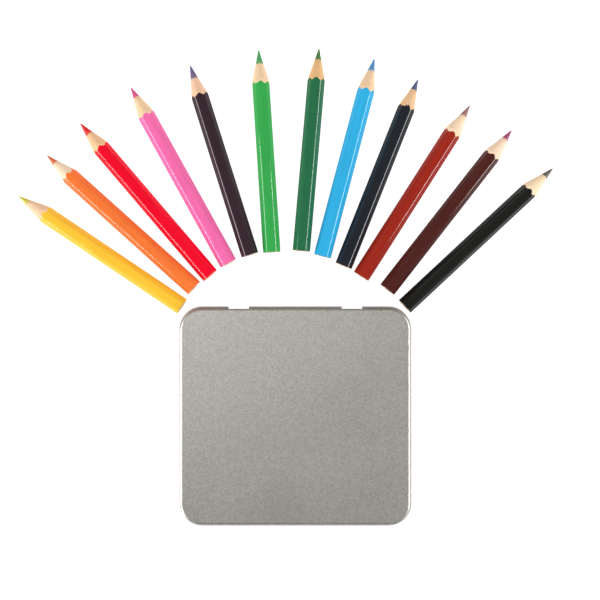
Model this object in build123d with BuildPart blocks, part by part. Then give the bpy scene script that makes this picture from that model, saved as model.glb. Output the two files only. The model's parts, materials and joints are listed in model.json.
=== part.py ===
from build123d import *
import os
from math import cos, radians, sin, tan

# A hinged tinplate box and the twelve half-length coloured pencils that it holds, laid out in a fan
# behind it. Millimetres. The origin is the centre of the box's flat underside, +Z is up, +Y points
# to the hinge, and +X is to the right of someone who opens the lid from the front.

# ---- Driving dimensions: the pencils ----
pencil_count = 12
pencil_length = 89.8  # before it was first sharpened
pencil_flats = 7.1  # across the lacquered flats
pencil_corner = 1.8  # radius of the lacquered corners
lacquer_coat = 0.13  # thickness of the lacquer
core_diameter = 3.0
sharpened_half_angle = 14.4  # degrees, between the sharpened cone and the pencil's axis
tip_diameter = 0.5  # where the point is blunt
butt_overrun = 1.5  # how far the outline that the sharpening leaves runs on past the butt

# ---- Driving dimensions: the tinplate box ----
sheet = 0.28  # thickness of the tinplate
side_room = 5.6  # left over in the tray beside the twelve pencils
end_room = 1.5  # left over in the tray beyond a pencil's length
head_room = 5.34  # between a pencil in the tray and the lid
tin_corner = 9.2  # outer corner radius of the lid's skirt
lid_shoulder = 1.1  # outer radius between the lid's panel and its skirt
base_heel = 1.0  # outer radius between the base's underside and its wall
lid_gap = 0.3  # between the lid's skirt and the base's wall
rim_gap = 0.12  # between the lid's panel and the base's rim
rim_roll = 1.0  # outside diameter of the base rim's inward roll
rim_wrap = 215.0  # degrees that the rim is rolled through
bead_roll = 1.3  # outside diameter of the bead rolled along the lid's edge
bead_wrap = 292.0  # degrees that the bead is rolled through
bead_drop = 3.8  # from the lid's top down to the bead's centre

# ---- Driving dimensions: the hinge ----
hinge_spacing = 49.0  # between the middles of the two hinge tabs
hinge_drop = 5.7  # from the lid's top down to the hinge axis
bar_diameter = 1.0  # the round bar that is left across each window of the base
bar_fit = 0.08  # radial running clearance between the bar and the curled tab
bar_grip = 0.6  # how far the bar runs into the wall at each end
tab_width = 7.6
tab_wrap = 285.0  # degrees that a tab is curled through
tab_side_gap = 1.2  # between a tab and each side of its window
curl_gap = 0.54  # between a curled tab and the top and bottom of its window
notch_side_gap = 0.6  # between a tab and the bead's cut ends

# ---- Driving dimensions: the fan ----
# Each row is one pencil: its colour, how far its butt lies from the middle as a share of the tin's
# half width, how far it lies behind the tin's rear edge, the way that its point is turned, in degrees
# from +X, and how much of its length has been sharpened away.
fan = [
    ("yellow", -1.005, 0.9, 146.0, 3.4),
    ("orange", -0.897, 9.0, 138.0, 3.0),
    ("red", -0.754, 14.4, 130.5, 2.0),
    ("pink", -0.594, 19.8, 119.0, 1.6),
    ("violet", -0.403, 23.5, 107.5, 2.7),
    ("light_green", -0.209, 24.7, 93.75, 1.0),
    ("dark_green", 0.052, 25.3, 85.0, 0.8),
    ("light_blue", 0.238, 22.9, 75.25, 0.3),
    ("dark_blue", 0.426, 18.7, 68.25, 1.9),
    ("brick", 0.581, 14.1, 57.5, 1.0),
    ("maroon", 0.813, 8.3, 52.0, 1.2),
    ("black", 0.969, 0.9, 43.0, 1.1),
]

# ---- What follows from them ----
flat_radius = pencil_flats / 2
corner_radius = (flat_radius - pencil_corner) / cos(radians(30)) + pencil_corner
core_radius = core_diameter / 2
tip_radius = tip_diameter / 2
sharpening_reach = 2 * corner_radius  # radius at which the sharpened outline ends, clear of the wood
sharpening_length = (sharpening_reach - tip_radius) / tan(radians(sharpened_half_angle))

lid_to_tray = sheet + lid_gap + sheet  # from the skirt's outside to the wall's inside
tin_width = pencil_count * 2 * corner_radius + side_room + 2 * lid_to_tray
tin_depth = pencil_length + end_room + 2 * lid_to_tray
tin_height = sheet + pencil_flats + head_room + sheet

skirt_outside = tin_depth / 2  # rear face of the lid's skirt
skirt_inside = skirt_outside - sheet
base_width = tin_width - 2 * (sheet + lid_gap)
base_depth = tin_depth - 2 * (sheet + lid_gap)
base_corner = tin_corner - sheet - lid_gap
bead_height = tin_height - bead_drop
rim_height = tin_height - sheet - rim_gap - rim_roll / 2  # centre of the rim's roll

bar_radius = bar_diameter / 2
curl_inside = bar_radius + bar_fit
curl_outside = curl_inside + sheet
hinge_y = skirt_outside - curl_outside
hinge_height = tin_height - hinge_drop
window_width = tab_width + 2 * tab_side_gap
window_height = 2 * (curl_outside + curl_gap)
bar_length = window_width + 2 * bar_grip
notch_width = tab_width + 2 * notch_side_gap
hinge_places = (-hinge_spacing / 2, hinge_spacing / 2)


def write(piece, name):
    """Label a finished piece and write it as the node of that name."""
    piece.label = name
    export_step(piece, f"parts/{name}.step")


def edge_section(edge):
    """Give the plane across the start of a level closed edge: x is outwards and y is up."""
    along = edge % 0
    outwards = along.cross(Vector(0, 0, 1))
    if outwards.dot(edge @ 0 - edge.center()) < 0:
        outwards = -outwards
    return Plane(origin=edge @ 0, x_dir=outwards, z_dir=outwards.cross(Vector(0, 0, 1)))


def rolled_sheet(centre, roll_radius, start, wrap):
    """Draw the section of a sheet that is rolled round a centre, from a start angle."""
    with BuildLine() as outline:
        outside = CenterArc(centre, roll_radius, start, wrap)
        inside = CenterArc(centre, roll_radius - sheet, start, wrap)
        Line(outside @ 0, inside @ 0)
        Line(outside @ 1, inside @ 1)
    make_face(outline.edges())


def make_base():
    """The tray: a drawn pan with a rolled rim, and two windows that the hinge bars cross."""
    with BuildSketch(Plane.XY.offset(rim_height)) as rim_outline:
        RectangleRounded(base_width, base_depth, base_corner)
    rim_edge = rim_outline.sketch.face().outer_wire()

    with BuildPart() as base:
        with BuildSketch():
            RectangleRounded(base_width, base_depth, base_corner)
        extrude(amount=rim_height)
        fillet(base.faces().sort_by(Axis.Z)[0].edges(), base_heel)
        offset(amount=-sheet, openings=base.faces().sort_by(Axis.Z)[-1])
        with BuildSketch(edge_section(rim_edge)):
            rolled_sheet((-rim_roll / 2, 0), rim_roll / 2, 0, rim_wrap)
        sweep(path=rim_edge)
        for hinge_x in hinge_places:
            with Locations((hinge_x, base_depth / 2, hinge_height)):
                Box(window_width, 4 * sheet, window_height, mode=Mode.SUBTRACT)
            with BuildSketch(Plane.YZ.offset(hinge_x - bar_length / 2)):
                with Locations((hinge_y, hinge_height)):
                    Circle(bar_radius)
            extrude(amount=bar_length)
    write(base.part, "tin_base")


def make_lid():
    """The lid: a drawn pan with a bead rolled along its edge, and two tabs curled round the bars."""
    with BuildSketch(Plane.XY.offset(bead_height)) as skirt_outline:
        RectangleRounded(tin_width, tin_depth, tin_corner)
    skirt_edge = skirt_outline.sketch.face().outer_wire()

    with BuildPart() as lid:
        with BuildSketch(Plane.XY.offset(bead_height)):
            RectangleRounded(tin_width, tin_depth, tin_corner)
        extrude(amount=bead_drop)
        fillet(lid.faces().sort_by(Axis.Z)[-1].edges(), lid_shoulder)
        offset(amount=-sheet, openings=lid.faces().sort_by(Axis.Z)[0])
        with BuildSketch(edge_section(skirt_edge)):
            rolled_sheet((bead_roll / 2 - sheet, 0), bead_roll / 2, 180, bead_wrap)
        sweep(path=skirt_edge)
        for hinge_x in hinge_places:
            # The bead is left out beside a tab: beyond the skirt, and below it.
            with Locations((hinge_x, skirt_outside, bead_height)):
                Box(notch_width, 2 * bead_roll, 2 * bead_roll,
                    align=(Align.CENTER, Align.MIN, Align.CENTER), mode=Mode.SUBTRACT)
                Box(notch_width, 4 * bead_roll, bead_roll,
                    align=(Align.CENTER, Align.CENTER, Align.MAX), mode=Mode.SUBTRACT)
            with BuildSketch(Plane.YZ.offset(hinge_x - tab_width / 2)):
                rolled_sheet((hinge_y, hinge_height), curl_outside, 0, -tab_wrap)
                with Locations((skirt_inside, hinge_height)):
                    Rectangle(sheet, bead_height - hinge_height, align=Align.MIN)
            extrude(amount=tab_width)
    write(lid.part, "tin_lid")


def butt_plane(across, behind, heading):
    """Give the plane of a pencil's butt: z runs to the point, and y is up."""
    turn = radians(heading)
    butt = (across * tin_width / 2, tin_depth / 2 + behind, flat_radius)
    return Plane(origin=butt, x_dir=(-sin(turn), cos(turn), 0), z_dir=(cos(turn), sin(turn), 0))


def sharpen(butt, length):
    """Keep what lies inside the sharpened outline of a pencil of this length."""
    lengthwise = Plane(origin=butt.origin, x_dir=butt.z_dir, z_dir=-butt.x_dir)
    with BuildSketch(lengthwise) as outline:
        with BuildLine():
            Polyline(
                (-butt_overrun, 0),
                (length, 0),
                (length, tip_radius),
                (length - sharpening_length, sharpening_reach),
                (-butt_overrun, sharpening_reach),
                close=True,
            )
        make_face()
    revolve(outline.sketch, axis=Axis(butt.origin, butt.z_dir), mode=Mode.INTERSECT)


def make_lacquer(colour, butt, length):
    """The coat of lacquer, scalloped where the sharpened cone leaves the six flats."""
    with BuildPart() as lacquer:
        with BuildSketch(butt) as section:
            RegularPolygon(flat_radius, 6, major_radius=False)
            fillet(section.vertices(), pencil_corner)
            offset(amount=-lacquer_coat, mode=Mode.SUBTRACT)
        extrude(amount=length)
        sharpen(butt, length)
    write(lacquer.part, f"{colour}_lacquer")


def make_slat(colour, butt, length, side, keep):
    """One of the two slats of the casing, which are glued together on the pencil's middle plane."""
    with BuildPart() as slat:
        with BuildSketch(butt) as section:
            RegularPolygon(flat_radius - lacquer_coat, 6, major_radius=False)
            fillet(section.vertices(), pencil_corner - lacquer_coat)
            Circle(core_radius, mode=Mode.SUBTRACT)
        extrude(amount=length)
        sharpen(butt, length)
        split(bisect_by=Plane(origin=butt.origin, z_dir=butt.y_dir), keep=keep)
    write(slat.part, f"{colour}_{side}_slat")


def make_core(colour, butt, length):
    """The coloured core, with its blunt point."""
    with BuildPart() as core:
        with BuildSketch(butt):
            Circle(core_radius)
        extrude(amount=length)
        sharpen(butt, length)
    write(core.part, f"{colour}_core")


os.makedirs("parts", exist_ok=True)
make_base()
make_lid()
for colour, across, behind, heading, sharpened_off in fan:
    butt = butt_plane(across, behind, heading)
    length = pencil_length - sharpened_off
    make_lacquer(colour, butt, length)
    make_slat(colour, butt, length, "upper", Keep.TOP)
    make_slat(colour, butt, length, "lower", Keep.BOTTOM)
    make_core(colour, butt, length)
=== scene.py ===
"""The looks of a hinged tinplate box and the twelve half-length coloured pencils fanned out behind it.

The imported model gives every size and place, in metres: +Z is up, +Y points to the tin's hinge, and the
tin stands on the floor with its middle at the origin. The finishes are added here, and with them how
unevenly each pencil was cut and marked by its sharpener.
"""

import json
import logging
import math
from dataclasses import dataclass
from enum import Enum
from typing import Any

import bpy
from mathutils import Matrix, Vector


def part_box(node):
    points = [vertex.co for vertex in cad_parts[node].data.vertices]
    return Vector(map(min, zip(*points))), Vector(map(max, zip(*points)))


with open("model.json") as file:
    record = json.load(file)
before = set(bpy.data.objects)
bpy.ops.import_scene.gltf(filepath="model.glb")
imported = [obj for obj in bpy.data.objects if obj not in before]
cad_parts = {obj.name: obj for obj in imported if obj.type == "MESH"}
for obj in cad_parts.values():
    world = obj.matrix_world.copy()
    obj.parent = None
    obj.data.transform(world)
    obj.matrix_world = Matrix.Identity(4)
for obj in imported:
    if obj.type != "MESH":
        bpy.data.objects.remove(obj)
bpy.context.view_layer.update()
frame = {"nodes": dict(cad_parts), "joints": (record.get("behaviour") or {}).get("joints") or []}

LOG = logging.getLogger("pencil_tin")
TIN_NODES = ("tin_lid", "tin_base")
MM = 0.001
MOST_NOISE = (0.3, 0.7)  # nearly all of a noise lies in this range

Colour = tuple[float, float, float]
Socket = bpy.types.NodeSocket


def linear(hex_code: str) -> Colour:
    """Turn a display colour into the scene's linear values.

    Args:
        hex_code: Six hexadecimal digits, red first.

    Returns:
        Red, green and blue from 0 to 1.
    """
    shares = [int(hex_code[i:i + 2], 16) / 255 for i in (0, 2, 4)]
    red, green, blue = (s / 12.92 if s <= 0.04045 else ((s + 0.055) / 1.055) ** 2.4 for s in shares)
    return red, green, blue


def opaque(colour: Colour) -> tuple[float, float, float, float]:
    """Give a colour its full alpha, as colour sockets want it."""
    return (*colour, 1.0)


def scaled(colour: Colour, factor: float) -> Colour:
    """Make a colour darker or lighter by one factor."""
    return colour[0] * factor, colour[1] * factor, colour[2] * factor


# ---------------------------------------------------------------------------------------------
# Wiring
# ---------------------------------------------------------------------------------------------


class Graph:
    """A node tree while it is wired."""

    def __init__(self, tree: bpy.types.NodeTree) -> None:
        """Take the tree over as it is."""
        self.tree = tree

    def node(
        self, kind: str, inputs: dict[str | int, Any] | None = None, **settings: Any
    ) -> bpy.types.Node:
        """Add a node with its settings, and fill or connect its inputs.

        Args:
            kind: The node's class name, without its ShaderNode in front.
            inputs: A value or another node's output for each input, by name or number.
            settings: Properties of the node itself.

        Returns:
            The new node.
        """
        made = self.tree.nodes.new("ShaderNode" + kind)
        for name, value in settings.items():
            setattr(made, name, value)
        for name, value in (inputs or {}).items():
            self.feed(made.inputs[name], value)
        return made

    def feed(self, socket: Socket, value: Any) -> None:
        """Connect a socket to an output, or set the value on it.

        Args:
            socket: The input to fill.
            value: Another node's output, or a plain value.
        """
        if isinstance(value, bpy.types.NodeSocket):
            self.tree.links.new(value, socket)
        else:
            socket.default_value = value

    def math(self, operation: str, *values: Any) -> Socket:
        """Work out a number from others, by the name of the operation."""
        return self.node("Math", dict(enumerate(values)), operation=operation).outputs[0]

    def vector(self, operation: str, *values: Any) -> Socket:
        """Work out a vector from others, by the name of the operation."""
        return self.node("VectorMath", dict(enumerate(values)), operation=operation).outputs[0]

    def ramp(
        self, value: Socket, low: float, high: float, to_low: float = 0.0, to_high: float = 1.0
    ) -> Socket:
        """Map a number smoothly from one range, low to high, to another, and hold it within that."""
        inputs = {"Value": value, "From Min": low, "From Max": high, "To Min": to_low, "To Max": to_high}
        return self.node("MapRange", inputs, interpolation_type="SMOOTHSTEP").outputs["Result"]

    def blend(self, factor: Any, first: Any, second: Any) -> Socket:
        """Mix two colours.

        Args:
            factor: The share of the second colour.
            first: The first colour, or an output that gives it.
            second: The second colour, or an output that gives it.

        Returns:
            The mixed colour.
        """
        made = self.node("Mix", data_type="RGBA", clamp_factor=True)
        for index, value in ((0, factor), (6, first), (7, second)):
            self.feed(made.inputs[index], value)
        return made.outputs[2]

    def noise(self, vector: Socket, scale: Any, detail: float = 2.0, roughness: float = 0.5) -> Socket:
        """Give a cloudy number about 0.5, whose scale is its cells for each unit of the vector."""
        inputs = {"Vector": vector, "Scale": scale, "Detail": detail, "Roughness": roughness}
        return self.node("TexNoise", inputs).outputs["Fac"]


class Effect(Enum):
    """The surface effects that several finishes share, each of them a node group."""

    GRAIN = "fine_grain"
    HANDLING = "handling_marks"
    FIBRES = "long_fibres"


class EffectLibrary:
    """Builds each shared effect once, and places it in the finishes that use it."""

    def __init__(self) -> None:
        """Build every group."""
        self.groups = {
            Effect.GRAIN: self.fine_grain(),
            Effect.HANDLING: self.handling_marks(),
            Effect.FIBRES: self.long_fibres(),
        }

    def start(
        self, effect: Effect, numbers: dict[str, float], outputs: tuple[str, ...]
    ) -> tuple[Graph, bpy.types.Node, bpy.types.Node]:
        """Start a group that reads a vector and some numbers, and gives numbers.

        Args:
            effect: The effect that the group is for.
            numbers: Its inputs beside the vector, with what each is unless a finish sets it.
            outputs: The numbers that it gives.

        Returns:
            The group's graph, its input node and its output node.
        """
        tree = bpy.data.node_groups.new(effect.value, "ShaderNodeTree")
        tree.interface.new_socket("Vector", in_out="INPUT", socket_type="NodeSocketVector")
        for name, usual in numbers.items():
            socket = tree.interface.new_socket(name, in_out="INPUT", socket_type="NodeSocketFloat")
            socket.default_value = usual
        for name in outputs:
            tree.interface.new_socket(name, in_out="OUTPUT", socket_type="NodeSocketFloat")
        return Graph(tree), tree.nodes.new("NodeGroupInput"), tree.nodes.new("NodeGroupOutput")

    def fine_grain(self) -> bpy.types.NodeTree:
        """Make a fine, even stipple with a few coarser grains in it.

        Returns:
            The group: Grain as a mask and Height as it is, by the Size of a grain.
        """
        coarse_scale, coarse_share = 0.37, 0.28
        graph, given, result = self.start(Effect.GRAIN, {"Size": 0.45 * MM}, ("Grain", "Height"))
        cells = graph.math("DIVIDE", 1.0, given.outputs["Size"])
        place = graph.vector("SCALE", given.outputs["Vector"])
        graph.feed(place.node.inputs["Scale"], cells)
        fine = graph.noise(place, 1.0, detail=1.0, roughness=0.6)
        coarse = graph.noise(place, coarse_scale, detail=1.0)
        fine_part = graph.math("MULTIPLY", fine, 1.0 - coarse_share)
        grain = graph.math("ADD", fine_part, graph.math("MULTIPLY", coarse, coarse_share))
        graph.feed(result.inputs["Grain"], graph.ramp(grain, *MOST_NOISE))
        graph.feed(result.inputs["Height"], grain)
        return graph.tree

    def handling_marks(self) -> bpy.types.NodeTree:
        """Make broad smears from fingers, and hairline scratches that cross each other.

        Returns:
            The group: the masks Smears and Scratches, by the Spread of the smears.
        """
        smeared, scratched = (0.38, 0.68), (0.74, 0.78)
        lengthwise, lines = 2.0, 40.0
        graph, given, result = self.start(Effect.HANDLING, {"Spread": 30.0}, ("Smears", "Scratches"))
        place, spread = given.outputs["Vector"], given.outputs["Spread"]
        smears = graph.noise(place, spread, detail=4.0, roughness=0.55)
        graph.feed(result.inputs["Smears"], graph.ramp(smears, *smeared))
        hairlines = []
        for turn, thinness in ((0.4, 60.0), (1.9, 45.0)):
            scale = (thinness, lengthwise, thinness)
            inputs = {"Vector": place, "Rotation": (0.0, 0.0, turn), "Scale": scale}
            drawn = graph.node("Mapping", inputs).outputs["Vector"]
            hairlines.append(graph.ramp(graph.noise(drawn, lines, detail=1.0), *scratched))
        graph.feed(result.inputs["Scratches"], graph.math("MAXIMUM", *hairlines))
        return graph.tree

    def long_fibres(self) -> bpy.types.NodeTree:
        """Make streaks along X, as wood has them, and the short pores between them.

        Returns:
            The group: the masks Streaks and Pores, by the Width of a fibre.
        """
        lengthwise, streak_scale, pore_scale, pored = 0.05, 0.8, 2.6, (0.62, 0.74)
        graph, given, result = self.start(Effect.FIBRES, {"Width": 0.5 * MM}, ("Streaks", "Pores"))
        cells = graph.math("DIVIDE", 1.0, given.outputs["Width"])
        place = graph.vector("MULTIPLY", given.outputs["Vector"], (lengthwise, 1.0, 1.0))
        drawn = graph.vector("SCALE", place)
        graph.feed(drawn.node.inputs["Scale"], cells)
        streaks = graph.noise(drawn, streak_scale, detail=3.0, roughness=0.6)
        pores = graph.noise(drawn, pore_scale, detail=1.0)
        graph.feed(result.inputs["Streaks"], graph.ramp(streaks, *MOST_NOISE))
        graph.feed(result.inputs["Pores"], graph.ramp(pores, *pored))
        return graph.tree

    def place(self, graph: Graph, effect: Effect, vector: Socket, **numbers: float) -> bpy.types.Node:
        """Place an effect in a finish.

        Args:
            graph: The finish's graph.
            effect: Which effect.
            vector: Where the effect is read.
            numbers: Its other inputs, where they aren't the usual ones.

        Returns:
            The group's node.
        """
        made = graph.node("Group", node_tree=self.groups[effect])
        graph.feed(made.inputs["Vector"], vector)
        for name, value in numbers.items():
            made.inputs[name.capitalize()].default_value = value
        return made


# ---------------------------------------------------------------------------------------------
# Finishes
# ---------------------------------------------------------------------------------------------


def new_material(name: str) -> tuple[bpy.types.Material, Graph, bpy.types.Node]:
    """Start a material with one Principled shader.

    Args:
        name: The material's name.

    Returns:
        The material, its graph and its shader.
    """
    material = bpy.data.materials.new(name)
    material.use_nodes = True
    graph = Graph(material.node_tree)
    return material, graph, material.node_tree.nodes["Principled BSDF"]


def dress(piece: bpy.types.Object, material: bpy.types.Material) -> None:
    """Give every face of a piece one material.

    Args:
        piece: The piece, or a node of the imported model.
        material: Its material.
    """
    if not piece.material_slots:
        piece.data.materials.append(material)
    for slot in piece.material_slots:
        slot.material = material


def relieve(
    graph: Graph, shader: bpy.types.Node, height: Socket, strength: float, distance: float
) -> None:
    """Give a finish its fine relief, whose height is a share of the distance."""
    bump = graph.node("Bump", {"Strength": strength, "Distance": distance, "Height": height})
    graph.feed(shader.inputs["Normal"], bump.outputs["Normal"])


@dataclass(frozen=True)
class LidDepths:
    """How far below the lid's panel its drawn edge, shoulder, groove and bead lie."""

    panel_edge: float = 0.06 * MM
    shoulder: float = 0.9 * MM
    # The groove and bead depths bound the band of painted shade on the skirt.
    groove: tuple[float, float] = (0.75 * MM, 1.0 * MM)
    bead: tuple[float, float] = (3.3 * MM, 3.0 * MM)


@dataclass(frozen=True)
class Tinplate:
    """Bright tinplate with a fine satin stipple, plain where it was drawn, and darkened by painted shade on
    the skirt above its bead.
    """

    name: str = "satin_tinplate"
    pale: Colour = linear("f6f3ec")
    dark: Colour = linear("d0ccc3")
    rubbed: Colour = linear("ebe8e2")
    # Painted shade: the darker colour laid on the skirt, standing in for shade and a dark reflection there.
    tarnished: Colour = linear("9d978e")
    grain_size: float = 0.5 * MM
    grain_height: float = 0.012 * MM
    grain_strength: float = 0.35
    roughness: float = 0.46
    rubbed_roughness: float = 0.66
    smear_spread: float = 26.0
    smear_roughness: float = 0.05
    scratch_share: float = 0.25

    def build(self, effects: EffectLibrary, top: float, depths: LidDepths) -> bpy.types.Material:
        """Make the material.

        Args:
            effects: The shared effects.
            top: The height of the lid's panel.
            depths: What lies how far below it.

        Returns:
            The material.
        """
        material, graph, shader = new_material(self.name)
        place = graph.node("TexCoord").outputs["Object"]
        height = graph.node("SeparateXYZ", {0: place}).outputs["Z"]
        rubbed = graph.ramp(height, top - depths.panel_edge, top - depths.shoulder)
        grain = effects.place(graph, Effect.GRAIN, place, size=self.grain_size)
        marks = effects.place(graph, Effect.HANDLING, place, spread=self.smear_spread)

        stipple = graph.blend(grain.outputs["Grain"], opaque(self.dark), opaque(self.pale))
        sheet = graph.blend(rubbed, stipple, opaque(self.rubbed))
        scratched = graph.math("MULTIPLY", marks.outputs["Scratches"], self.scratch_share)
        marked = graph.blend(scratched, sheet, opaque(self.rubbed))
        # Painted shade: the skirt between the shoulder and the bead is darkened towards the darker colour,
        # as if in shade.
        below_shoulder = graph.ramp(height, *(top - depth for depth in depths.groove))
        above_bead = graph.ramp(height, *(top - depth for depth in depths.bead))
        painted_shade_band = graph.math("MULTIPLY", below_shoulder, above_bead)
        graph.feed(shader.inputs["Base Color"], graph.blend(painted_shade_band, marked, opaque(self.tarnished)))
        shader.inputs["Metallic"].default_value = 1.0

        rough = graph.ramp(rubbed, 0.0, 1.0, self.roughness, self.rubbed_roughness)
        uneven = graph.math("SUBTRACT", marks.outputs["Smears"], 0.5)
        smeared = graph.math("MULTIPLY", uneven, self.smear_roughness)
        graph.feed(shader.inputs["Roughness"], graph.math("ADD", rough, smeared))
        relieve(graph, shader, grain.outputs["Height"], self.grain_strength, self.grain_height)
        return material


@dataclass(frozen=True)
class PencilPlace:
    """Where one pencil lies, and where along it its lacquer, its wood and its core end."""

    butt: Vector
    heading: float
    length: float
    wood_end: float
    lacquer_end: float
    flat_radius: float
    core_radius: float

    @property
    def slope(self) -> float:
        """How much the sharpened cone narrows for each unit of length."""
        return (self.flat_radius - self.core_radius) / (self.wood_end - self.lacquer_end)

    def axes(self, graph: Graph) -> Socket:
        """Read the surface in the pencil's own frame: X along it from the butt, Z up, in metres.

        Args:
            graph: The finish's graph.

        Returns:
            The place in that frame.
        """
        place = graph.node("TexCoord").outputs["Object"]
        inputs = {"Vector": place, "Location": self.butt, "Rotation": (0.0, 0.0, self.heading)}
        return graph.node("Mapping", inputs, vector_type="TEXTURE").outputs["Vector"]

    def along(self, graph: Graph, axes: Socket) -> Socket:
        """Give how far the surface is from the pencil's butt, along it."""
        return graph.node("SeparateXYZ", {0: axes}).outputs["X"]

    def from_axis(self, graph: Graph, axes: Socket) -> Socket:
        """Give how far the surface is from the pencil's axis."""
        across = graph.vector("MULTIPLY", axes, (0.0, 1.0, 1.0))
        return graph.node("VectorMath", {0: across}, operation="LENGTH").outputs["Value"]


@dataclass(frozen=True)
class WoodTone:
    """The colours of one pencil's casing wood, spread about a middle tone."""

    middle: Colour
    pale_factor: float = 1.14
    palest: float = 0.97
    dark_factor: float = 0.98
    pore_factor: float = 0.62
    pore_share: float = 0.35

    def colour(self, graph: Graph, fibres: bpy.types.Node) -> Socket:
        """Lay the tones out along the fibres.

        Args:
            graph: The finish's graph.
            fibres: The placed fibres.

        Returns:
            The colour of the wood.
        """
        pale = opaque(tuple(min(self.palest, self.pale_factor * c) for c in self.middle))
        dark = opaque(scaled(self.middle, self.dark_factor))
        pore = opaque(scaled(self.middle, self.pore_factor))
        body = graph.blend(fibres.outputs["Streaks"], dark, pale)
        pored = graph.math("MULTIPLY", fibres.outputs["Pores"], self.pore_share)
        return graph.blend(pored, body, pore)


@dataclass(frozen=True)
class Ragged:
    """How an edge across a pencil wanders: how far in all, and how often for each metre."""

    reach: float
    ripples: float

    def shifted(self, graph: Graph, axes: Socket, along: Socket) -> Socket:
        """Shift how far along the pencil a place is, to and fro across the edge."""
        wander = graph.math("SUBTRACT", graph.noise(axes, self.ripples, roughness=0.6), 0.5)
        return graph.math("ADD", along, graph.math("MULTIPLY", wander, self.reach))


@dataclass(frozen=True)
class Lacquer:
    """Glossy pencil lacquer, a little pale along the six corners, and cut back unevenly."""

    name: str
    colour: Colour
    wood: WoodTone
    cut_back: float
    cut_edge: Ragged = Ragged(1.1 * MM, 420.0)
    cut_blur: float = 0.03 * MM
    fibre_width: float = 0.6 * MM
    smear_spread: float = 90.0
    deep_factor: float = 0.93
    thin_factor: float = 1.06
    worn_share: float = 0.35
    worn_fade: float = 0.75
    worn_lift: float = 0.06
    corner: tuple[float, float] = (1.055, 1.1)
    roughness: tuple[float, float] = (0.25, 0.38)
    bare_roughness: float = 0.62
    coat_roughness: float = 0.04
    coat_ior: float = 1.5
    peel_ripples: float = 900.0
    peel_height: float = 0.004 * MM
    peel_strength: float = 0.3
    grain_share: float = 0.6

    def build(self, effects: EffectLibrary, place: PencilPlace) -> bpy.types.Material:
        """Make the material for the pencil that lies at a place.

        Args:
            effects: The shared effects.
            place: Where the pencil lies.

        Returns:
            The material.
        """
        material, graph, shader = new_material(self.name)
        axes = place.axes(graph)
        fibres = effects.place(graph, Effect.FIBRES, axes, width=self.fibre_width)
        marks = effects.place(graph, Effect.HANDLING, axes, spread=self.smear_spread)
        radius = place.from_axis(graph, axes)
        bare = self.bare(graph, axes, radius, place)

        deep, thin = scaled(self.colour, self.deep_factor), scaled(self.colour, self.thin_factor)
        body = graph.blend(fibres.outputs["Streaks"], opaque(deep), opaque(thin))
        pale = opaque(tuple(self.worn_fade * c + self.worn_lift for c in self.colour))
        corner = graph.ramp(radius, *(place.flat_radius * share for share in self.corner))
        patchy = graph.math("MULTIPLY", marks.outputs["Smears"], self.worn_share)
        lacquered = graph.blend(graph.math("MULTIPLY", corner, patchy), body, pale)
        wooden = self.wood.colour(graph, fibres)
        graph.feed(shader.inputs["Base Color"], graph.blend(bare, lacquered, wooden))

        smooth = graph.ramp(marks.outputs["Smears"], 0.0, 1.0, *self.roughness)
        rough = graph.math("MULTIPLY", bare, self.bare_roughness)
        graph.feed(shader.inputs["Roughness"], graph.math("MAXIMUM", smooth, rough))
        shader.inputs["Specular IOR Level"].default_value = 0.0
        graph.feed(shader.inputs["Coat Weight"], graph.math("SUBTRACT", 1.0, bare))
        shader.inputs["Coat Roughness"].default_value = self.coat_roughness
        shader.inputs["Coat IOR"].default_value = self.coat_ior

        peel = graph.noise(axes, self.peel_ripples, detail=1.0)
        grain = graph.math("MULTIPLY", fibres.outputs["Streaks"], self.grain_share)
        relieve(graph, shader, graph.math("ADD", peel, grain), self.peel_strength, self.peel_height)
        return material

    def bare(self, graph: Graph, axes: Socket, radius: Socket, place: PencilPlace) -> Socket:
        """Mark the wood that the sharpener laid bare behind the lacquer's edge, deeper on the corners.

        Args:
            graph: The finish's graph.
            axes: The place in the pencil's own frame.
            radius: How far the surface is from the pencil's axis.
            place: Where the pencil lies.

        Returns:
            1 where the wood is bare, 0 under lacquer.
        """
        deeper = graph.math("DIVIDE", graph.math("SUBTRACT", radius, place.flat_radius), place.slope)
        cut = self.cut_edge.shifted(graph, axes, graph.math("ADD", place.along(graph, axes), deeper))
        edge = place.lacquer_end - self.cut_back
        return graph.ramp(cut, edge - self.cut_blur, edge + self.cut_blur)


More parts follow.
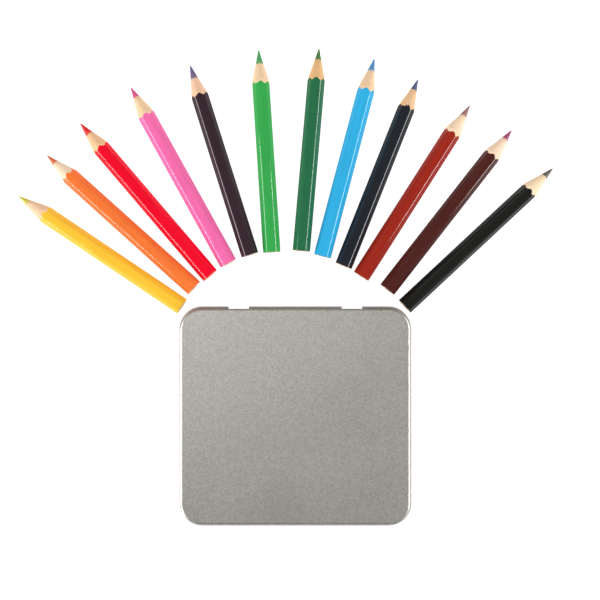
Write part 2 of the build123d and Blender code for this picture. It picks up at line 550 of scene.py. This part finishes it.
@dataclass(frozen=True)
class BareWood:
    """Freshly cut casing wood: pale, fine in grain, and dusted with pigment beside the core."""

    name: str
    pigment: Colour
    wood: WoodTone
    smear: float
    smear_edge: Ragged = Ragged(1.6 * MM, 380.0)
    smear_blur: float = 0.08 * MM
    smear_share: float = 0.9
    dusted: tuple[float, float] = (1.5, 0.98)
    dust_share: float = 0.4
    dust_ripples: float = 1400.0
    dust_patches: tuple[float, float] = (0.35, 0.75)
    fibre_width: float = 0.45 * MM
    roughness: float = 0.62
    specular: float = 0.35
    cut_pitch: float = 0.42 * MM
    cut_ripples: float = 700.0
    cut_share: float = 0.5
    relief: float = 0.03 * MM
    relief_strength: float = 0.5

    def build(self, effects: EffectLibrary, place: PencilPlace) -> bpy.types.Material:
        """Make the material for the pencil that lies at a place.

        Args:
            effects: The shared effects.
            place: Where the pencil lies.

        Returns:
            The material.
        """
        material, graph, shader = new_material(self.name)
        axes = place.axes(graph)
        fibres = effects.place(graph, Effect.FIBRES, axes, width=self.fibre_width)
        wooden = self.wood.colour(graph, fibres)
        stain = self.stain(graph, axes, place)
        graph.feed(shader.inputs["Base Color"], graph.blend(stain, wooden, opaque(self.pigment)))
        shader.inputs["Roughness"].default_value = self.roughness
        shader.inputs["Specular IOR Level"].default_value = self.specular

        turns = graph.math("MULTIPLY", place.along(graph, axes), 2 * math.pi / self.cut_pitch)
        ripple = graph.noise(axes, self.cut_ripples, detail=1.0)
        ridges = graph.math("MULTIPLY", graph.math("SINE", turns), ripple)
        cut = graph.math("MULTIPLY", ridges, self.cut_share)
        relief = graph.math("ADD", cut, fibres.outputs["Streaks"])
        relieve(graph, shader, relief, self.relief_strength, self.relief)
        return material

    def stain(self, graph: Graph, axes: Socket, place: PencilPlace) -> Socket:
        """Mark where pigment lies on the wood: dust beside the core, and what was dragged off it.

        Args:
            graph: The finish's graph.
            axes: The place in the pencil's own frame.
            place: Where the pencil lies.

        Returns:
            The share of the pigment's colour.
        """
        radius = place.from_axis(graph, axes)
        near_core = graph.ramp(radius, *(place.core_radius * share for share in self.dusted))
        patchy = graph.ramp(graph.noise(axes, self.dust_ripples, roughness=0.6), *self.dust_patches)
        dust = graph.math("MULTIPLY", graph.math("MULTIPLY", near_core, patchy), self.dust_share)
        dragged = self.smear_edge.shifted(graph, axes, place.along(graph, axes))
        edge = place.wood_end - self.smear
        low, high = edge - self.smear_blur, edge + self.smear_blur
        return graph.math("MAXIMUM", dust, graph.ramp(dragged, low, high, 0.0, self.smear_share))


@dataclass(frozen=True)
class Pigment:
    """A waxy coloured core, dragged into fine streaks by the sharpening."""

    name: str
    colour: Colour
    grain_size: float = 0.16 * MM
    fibre_width: float = 0.22 * MM
    deep_factor: float = 0.8
    waxy_factor: float = 1.15
    roughness: tuple[float, float] = (0.38, 0.6)
    relief: float = 0.03 * MM
    relief_strength: float = 0.5

    def build(self, effects: EffectLibrary, place: PencilPlace) -> bpy.types.Material:
        """Make the material for the pencil that lies at a place.

        Args:
            effects: The shared effects.
            place: Where the pencil lies.

        Returns:
            The material.
        """
        material, graph, shader = new_material(self.name)
        axes = place.axes(graph)
        grain = effects.place(graph, Effect.GRAIN, axes, size=self.grain_size)
        fibres = effects.place(graph, Effect.FIBRES, axes, width=self.fibre_width)
        deep, waxy = scaled(self.colour, self.deep_factor), scaled(self.colour, self.waxy_factor)
        body = graph.blend(grain.outputs["Grain"], opaque(deep), opaque(waxy))
        graph.feed(shader.inputs["Base Color"], body)
        rough = graph.ramp(fibres.outputs["Streaks"], 0.0, 1.0, *self.roughness)
        graph.feed(shader.inputs["Roughness"], rough)
        relief = graph.math("ADD", grain.outputs["Height"], fibres.outputs["Streaks"])
        relieve(graph, shader, relief, self.relief_strength, self.relief)
        return material


@dataclass(frozen=True)
class StudioPaper:
    """White paper that renders white to the camera, and still shows a trace of the object's shadow."""

    name: str = "studio_paper"
    white: Colour = (0.7, 0.7, 0.7)
    mottle_ripples: float = 300.0
    mottle_low: float = 0.97
    roughness: float = 0.9
    lift: float = 0.9
    mirrored_share: float = 0.05

    def build(self) -> bpy.types.Material:
        """Make the material.

        Returns:
            The material.
        """
        material, graph, shader = new_material(self.name)
        place = graph.node("TexCoord").outputs["Object"]
        mottle = graph.ramp(graph.noise(place, self.mottle_ripples), *MOST_NOISE, self.mottle_low, 1.0)
        tone = graph.vector("SCALE", self.white)
        graph.feed(tone.node.inputs["Scale"], mottle)
        graph.feed(shader.inputs["Base Color"], tone)
        shader.inputs["Roughness"].default_value = self.roughness
        shader.inputs["Specular IOR Level"].default_value = 0.0
        shader.inputs["Emission Color"].default_value = opaque((1.0, 1.0, 1.0))
        rays = graph.node("LightPath")
        seen = graph.math("MAXIMUM", rays.outputs["Is Camera Ray"], rays.outputs["Is Transmission Ray"])
        mirrored = graph.math("MULTIPLY", rays.outputs["Is Glossy Ray"], self.mirrored_share)
        shown = graph.math("MAXIMUM", seen, mirrored)
        graph.feed(shader.inputs["Emission Strength"], graph.math("MULTIPLY", shown, self.lift))
        return material


# ---------------------------------------------------------------------------------------------
# The object
# ---------------------------------------------------------------------------------------------


class PencilColour(Enum):
    """The twelve pencils from left to right: their lacquer, core and wood, and how unevenly each is cut.

    The two lengths, in millimetres, are how far the lacquer is cut back behind the sharpened cone, and how
    far the pigment is dragged over the wood.
    """

    YELLOW = ("ffc638", "d6c64f", "edc7a1", 1.4, 0.4)
    ORANGE = ("f87a37", "d9703f", "f1d5b6", 0.4, 0.1)
    RED = ("f30729", "e4141f", "ecbd90", 1.4, 1.3)
    PINK = ("f66fad", "dc5288", "eecaa1", 1.3, 0.1)
    VIOLET = ("38272f", "726089", "ecc1a0", 1.0, 1.3)
    LIGHT_GREEN = ("39a950", "4da461", "ebc9a4", 1.8, 1.4)
    DARK_GREEN = ("286d48", "538146", "e2b37e", 0.9, 0.15)
    LIGHT_BLUE = ("32b0e3", "4e91c2", "e9c59f", 1.4, 0.6)
    DARK_BLUE = ("22262c", "5a6188", "e7bb90", 0.6, 0.0)
    BRICK = ("9d281a", "a47573", "f4d3b5", 1.9, 0.5)
    MAROON = ("4e221e", "a24967", "f4d3b7", 1.5, 0.0)
    BLACK = ("1e1e1c", "655d57", "f6d6b3", 1.7, 0.3)

    @property
    def title(self) -> str:
        """The colour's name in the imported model."""
        return self.name.lower()

    @property
    def lacquer(self) -> Colour:
        """The lacquer's colour."""
        return linear(self.value[0])

    @property
    def core(self) -> Colour:
        """The core's colour."""
        return linear(self.value[1])

    @property
    def wood(self) -> WoodTone:
        """The casing wood's tones."""
        return WoodTone(linear(self.value[2]))

    @property
    def cut_back(self) -> float:
        """How far the lacquer is cut back."""
        return self.value[3] * MM

    @property
    def smear(self) -> float:
        """How far the pigment is dragged over the wood."""
        return self.value[4] * MM


@dataclass
class Tin:
    """The tinplate box: the drawn base and the lid that is hinged to it."""

    effects: EffectLibrary
    depths: LidDepths = LidDepths()

    def build(self) -> None:
        """Dress the base and the lid."""
        tinplate = Tinplate().build(self.effects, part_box("tin_lid")[1].z, self.depths)
        for node in TIN_NODES:
            dress(frame["nodes"][node], tinplate)
            LOG.info("%s: satin tinplate", node)


@dataclass
class Pencil:
    """One pencil: a lacquered casing of two slats round a coloured core."""

    colour: PencilColour
    effects: EffectLibrary

    def place(self) -> PencilPlace:
        """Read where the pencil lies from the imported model.

        Returns:
            Its place.
        """
        joint = next(j for j in frame["joints"] if j["child"] == f"{self.colour.title}_pencil")
        heading = math.atan2(joint["axis"][1], joint["axis"][0])
        along = Vector((math.cos(heading), math.sin(heading), 0.0))
        across = Vector((-along.y, along.x, 0.0))
        start, lacquer_end = self.extent("lacquer", along)
        middle = sum(self.extent("lacquer", across)) / 2
        low, high = self.extent("core", Vector((0.0, 0.0, 1.0)))
        flat_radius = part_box(f"{self.colour.title}_lacquer")[1].z / 2
        return PencilPlace(
            butt=along * start + across * middle + Vector((0.0, 0.0, flat_radius)),
            heading=heading,
            length=self.extent("core", along)[1] - start,
            wood_end=self.extent("upper_slat", along)[1] - start,
            lacquer_end=lacquer_end - start,
            flat_radius=flat_radius,
            core_radius=(high - low) / 2,
        )

    def extent(self, part: str, direction: Vector) -> tuple[float, float]:
        """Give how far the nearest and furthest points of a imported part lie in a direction."""
        reach = [v.co.dot(direction) for v in frame["nodes"][f"{self.colour.title}_{part}"].data.vertices]
        return min(reach), max(reach)

    def build(self) -> None:
        """Dress the lacquer, the two slats and the core."""
        pencil, title, place = self.colour, self.colour.title, self.place()
        lacquer = Lacquer(f"{title}_gloss_lacquer", pencil.lacquer, pencil.wood, pencil.cut_back)
        wood = BareWood(f"{title}_bare_wood", pencil.core, pencil.wood, pencil.smear)
        pigment = Pigment(f"{title}_pigment", pencil.core)
        dress(frame["nodes"][f"{title}_lacquer"], lacquer.build(self.effects, place))
        wooden = wood.build(self.effects, place)
        for side in ("upper", "lower"):
            dress(frame["nodes"][f"{title}_{side}_slat"], wooden)
        dress(frame["nodes"][f"{title}_core"], pigment.build(self.effects, place))
        LOG.info("%s pencil: %.1f mm long", title, place.length / MM)


# ---------------------------------------------------------------------------------------------
# The studio
# ---------------------------------------------------------------------------------------------


@dataclass(frozen=True)
class Softbox:
    """A lamp behind a white cloth, flagged off from all but some nodes if those are named."""

    name: str
    place: tuple[float, float, float]
    aim: tuple[float, float, float]
    size: tuple[float, float]
    watts: float
    only: tuple[str, ...] = ()

    def build(self) -> bpy.types.Object:
        """Hang the lamp and turn it to what it lights.

        Returns:
            The lamp.
        """
        data = bpy.data.lights.new(self.name, "AREA")
        data.shape = "RECTANGLE"
        data.size, data.size_y = self.size
        data.energy = self.watts
        lamp = bpy.data.objects.new(self.name, data)
        bpy.context.scene.collection.objects.link(lamp)
        lamp.location = self.place
        lamp.rotation_euler = (Vector(self.aim) - Vector(self.place)).to_track_quat("-Z", "Y").to_euler()
        if self.only:
            lit = bpy.data.collections.new(f"{self.name}_lights")
            for node in self.only:
                lit.objects.link(frame["nodes"][node])
            lamp.light_linking.receiver_collection = lit
        return lamp


@dataclass
class Studio:
    """The paper floor, the lamps, the dim room round them and the camera straight above."""

    floor_side: float = 6.0
    floor_drop: float = 0.02 * MM
    camera_place: tuple[float, float, float] = (2.0 * MM, 50.25 * MM, 440 * MM)
    seen_width: float = 263.4 * MM
    seen_height: float = 3.35 * MM
    sensor: float = 36.0
    nearest_seen: float = 10 * MM
    softboxes: tuple[Softbox, ...] = (
        Softbox("left_strip", place=(-1.0, -0.20, 0.36), aim=(0.0, 0.08, 0.0), size=(0.9, 0.5), watts=11.0),
        Softbox("right_strip", place=(1.0, -0.015, 0.46), aim=(0.0, 0.08, 0.0), size=(0.69, 0.3), watts=9.0),
        Softbox(
            "lid_cloth", place=(-0.18, 0.17, 0.95), aim=(0.0, 0.0, 0.0), size=(0.55, 0.55), watts=1.0,
            only=TIN_NODES,
        ),
    )
    cloth_aim: tuple[float, float, float] = (-0.084, 0.598, 0.797)
    cloth_edge: float = 0.935
    cloth_middle: float = 0.99
    cloth_level: float = 0.5
    room_level: float = 0.1
    fill: float = 0.42

    def build(self) -> None:
        """Set up the floor, the lamps, the room and the camera."""
        self.floor()
        for softbox in self.softboxes:
            softbox.build()
        self.room()
        self.camera()
        bpy.context.scene.view_settings.view_transform = "Standard"

    def floor(self) -> bpy.types.Object:
        """Lay the paper.

        Returns:
            The floor.
        """
        bpy.ops.object.select_all(action="DESELECT")
        bpy.ops.mesh.primitive_plane_add(size=self.floor_side, location=(0.0, 0.0, -self.floor_drop))
        paper = bpy.context.active_object
        paper.name = "paper_floor"
        dress(paper, StudioPaper().build())
        return paper

    def room(self) -> bpy.types.World:
        """Make the room: white to the camera, dim all round but for one pale cloth at the rear.

        Returns:
            The room.
        """
        world = bpy.data.worlds.new("studio_room")
        bpy.context.scene.world = world
        world.use_nodes = True
        graph = Graph(world.node_tree)
        background = world.node_tree.nodes["Background"]
        way = graph.vector("NORMALIZE", graph.node("TexCoord").outputs["Generated"])
        aimed = graph.node("VectorMath", {0: way, 1: self.cloth_aim}, operation="DOT_PRODUCT")
        towards = aimed.outputs["Value"]
        cloth = graph.ramp(towards, self.cloth_edge, self.cloth_middle, self.room_level, self.cloth_level)
        rays = graph.node("LightPath")
        seen = graph.math("MAXIMUM", rays.outputs["Is Camera Ray"], rays.outputs["Is Transmission Ray"])
        fill = graph.math("MULTIPLY", rays.outputs["Is Diffuse Ray"], self.fill)
        lit = graph.math("ADD", cloth, fill)
        strength = graph.node("Mix", {0: seen, 2: lit, 3: 1.0}).outputs[0]
        graph.feed(background.inputs["Strength"], strength)
        background.inputs["Color"].default_value = opaque((1.0, 1.0, 1.0))
        return world

    def camera(self) -> bpy.types.Object:
        """Hang the camera so that the seen width fills its frame at the seen height.

        Returns:
            The camera.
        """
        data = bpy.data.cameras.new("camera")
        data.sensor_width = self.sensor
        data.lens = self.sensor * (self.camera_place[2] - self.seen_height) / self.seen_width
        data.clip_start = self.nearest_seen
        camera = bpy.data.objects.new("camera", data)
        bpy.context.scene.collection.objects.link(camera)
        camera.location = self.camera_place
        bpy.context.scene.camera = camera
        return camera


def main() -> None:
    """Build the studio, the tin and the pencils."""
    logging.basicConfig(level=logging.INFO, format="%(name)s: %(message)s")
    Studio().build()
    effects = EffectLibrary()
    Tin(effects).build()
    for colour in PencilColour:
        Pencil(colour, effects).build()


if __name__ == "__main__":
    main()
